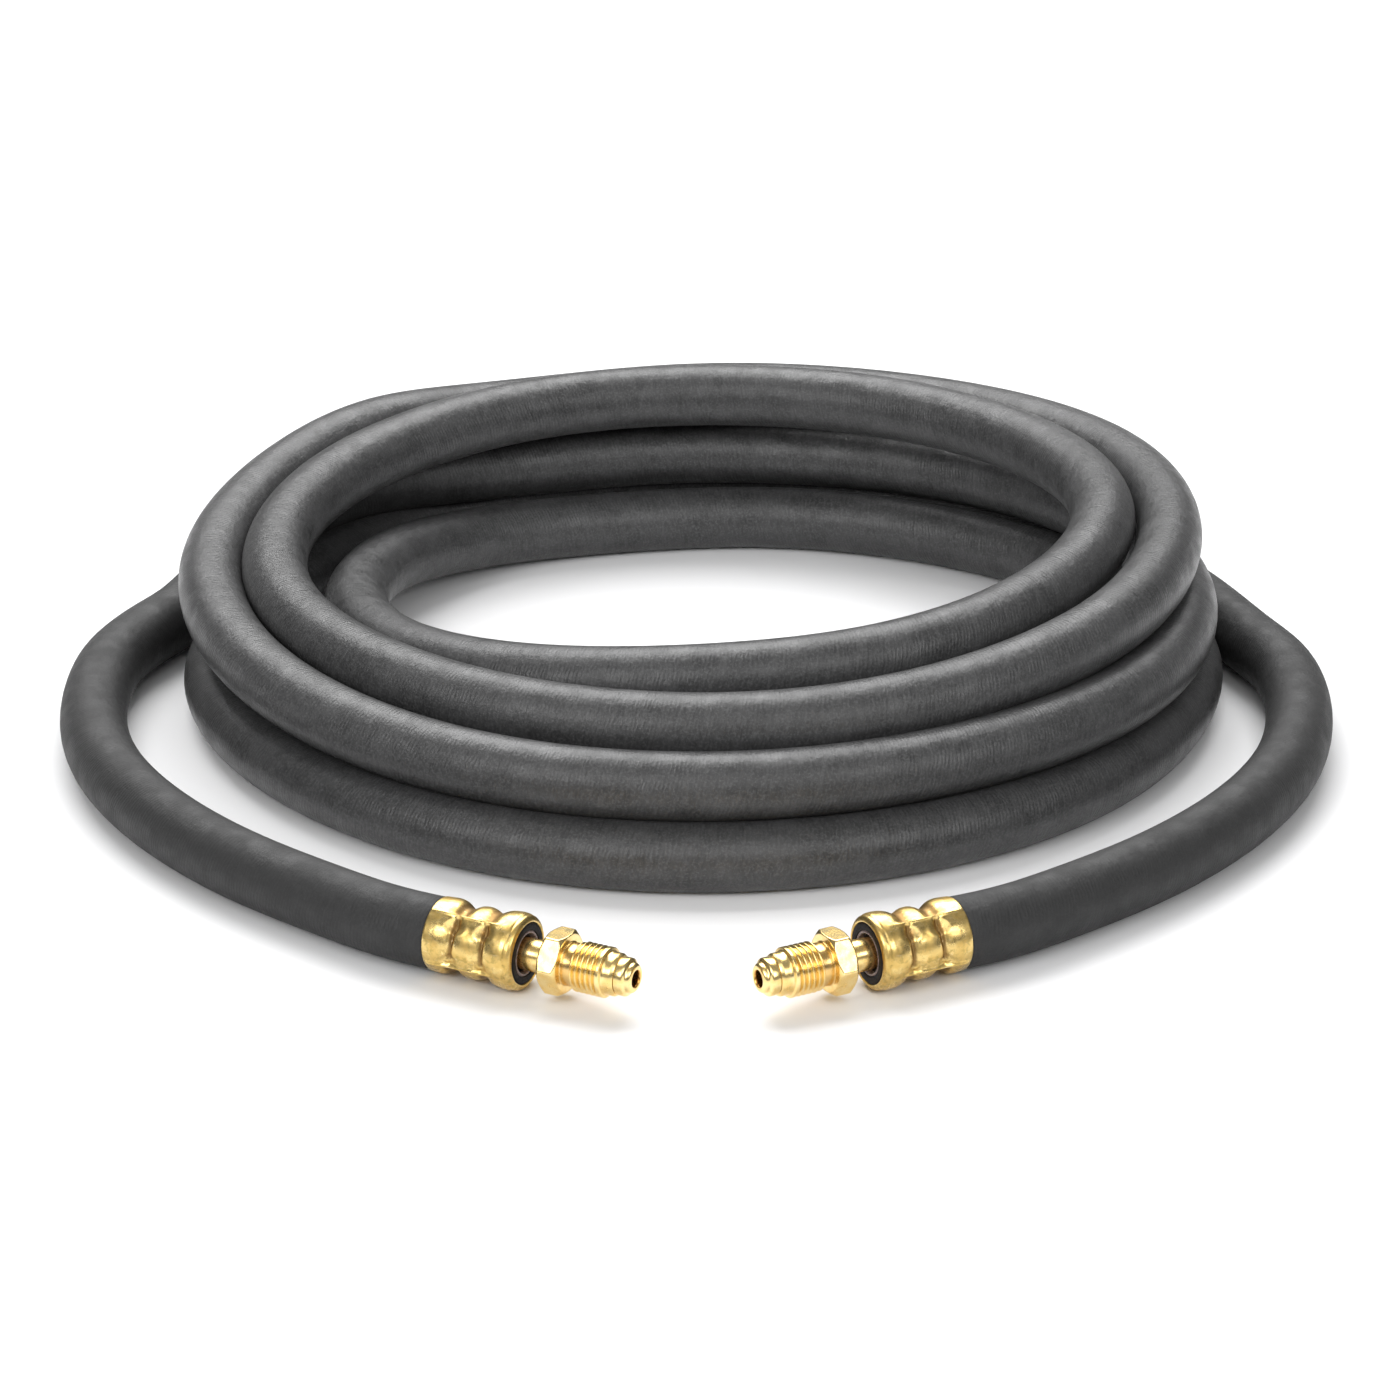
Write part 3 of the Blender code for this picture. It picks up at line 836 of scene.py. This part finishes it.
rubber = hose_rubber()
cover_rubber = cut_rubber("cut_cover_rubber", (0.006, 0.005, 0.006, 1), (0.016, 0.013, 0.014, 1))
liner_rubber = cut_rubber("cut_liner_rubber", (0.012, 0.009, 0.010, 1), (0.035, 0.026, 0.028, 1))
threads = braid_thread()
satin = stained_brass()
polished = polished_brass()

dress(hose, rubber, "hose", "rubber", "hose_coil", "hose_tail_left", "hose_tail_right")
fitting_pieces = []
for side in ("left", "right"):
    ferrule = add_ferrule(side)
    cover_end, braid_end, liner_end = add_hose_end(side)
    nipple = add_nipple(side)
    nut = add_nut(side)
    dress(ferrule, satin, "hose", "brass_satin", side + "_ferrule")
    dress(cover_end, cover_rubber, "hose", "rubber", side + "_cover_end")
    dress(braid_end, threads, "hose", "braid", side + "_braid_end")
    dress(liner_end, liner_rubber, "hose", "liner", side + "_liner_end")
    dress(nipple, polished, "hose", "brass_polished", side + "_nipple")
    dress(nut, polished, side + "_nut", "brass_polished", side + "_swivel_nut")
    fitting_pieces += [ferrule, cover_end, braid_end, liner_end, nipple, nut]

# ---------------------------------------------------------------- floor and light

FLOOR_RADIUS = 1.8
FLOOR_SIDES = 96
COIL_MIDDLE = Vector((0.0, 0.14, 0.01))


def add_floor():
    """A plain, pale, matt round floor."""
    turns = np.linspace(0.0, 2 * math.pi, FLOOR_SIDES, endpoint=False)
    rim = np.column_stack((np.cos(turns), np.sin(turns), np.zeros(FLOOR_SIDES))) * FLOOR_RADIUS
    floor = link_mesh("floor", rim, [tuple(range(FLOOR_SIDES))])
    material, tree, shader = new_tree("floor_paper")
    set_shader(tree, shader, {
        "Base Color": (0.86, 0.86, 0.865, 1),
        "Roughness": 0.9,
        "Specular IOR Level": 0.1,
    })
    floor.data.materials.append(material)


def add_softbox(name, place, width, height, power):
    """A large rectangular light, aimed at the middle of the coil."""
    data = bpy.data.lights.new(name, "AREA")
    data.shape = "RECTANGLE"
    data.size = width
    data.size_y = height
    data.energy = power
    light = bpy.data.objects.new(name, data)
    light.location = place
    light.rotation_euler = (COIL_MIDDLE - Vector(place)).to_track_quat("-Z", "Y").to_euler()
    light.visible_camera = False
    scene.collection.objects.link(light)


def add_world(horizon, overhead, backdrop):
    """Surroundings that light the hose, dim at the horizon; the camera sees a pale backdrop."""
    world = bpy.data.worlds.new("studio")
    world.use_nodes = True
    tree = world.node_tree
    rays = node(tree, "LightPath").outputs["Is Camera Ray"]
    direction = node(tree, "TexCoord").outputs["Generated"]
    height = node(tree, "SeparateXYZ", {"Vector": direction}).outputs["Z"]
    level = spread(tree, height, 0.05, 0.75, horizon, overhead)
    colour = mix(tree, rays, level, (backdrop, backdrop, backdrop, 1.0))
    tree.links.new(colour, tree.nodes["Background"].inputs["Color"])
    scene.world = world


add_floor()
add_world(horizon=0.12, overhead=0.30, backdrop=0.95)
add_softbox("back_softbox", (-0.1, 1.0, 1.2), 1.6, 1.1, 35.0)
add_softbox("front_fill", (-0.2, -1.1, 1.15), 2.0, 1.2, 10.0)
add_softbox("front_left_softbox", (-0.9, -0.9, 0.8), 0.7, 0.5, 6.5)
add_softbox("front_right_softbox", (0.9, -0.9, 0.8), 0.7, 0.5, 5.5)
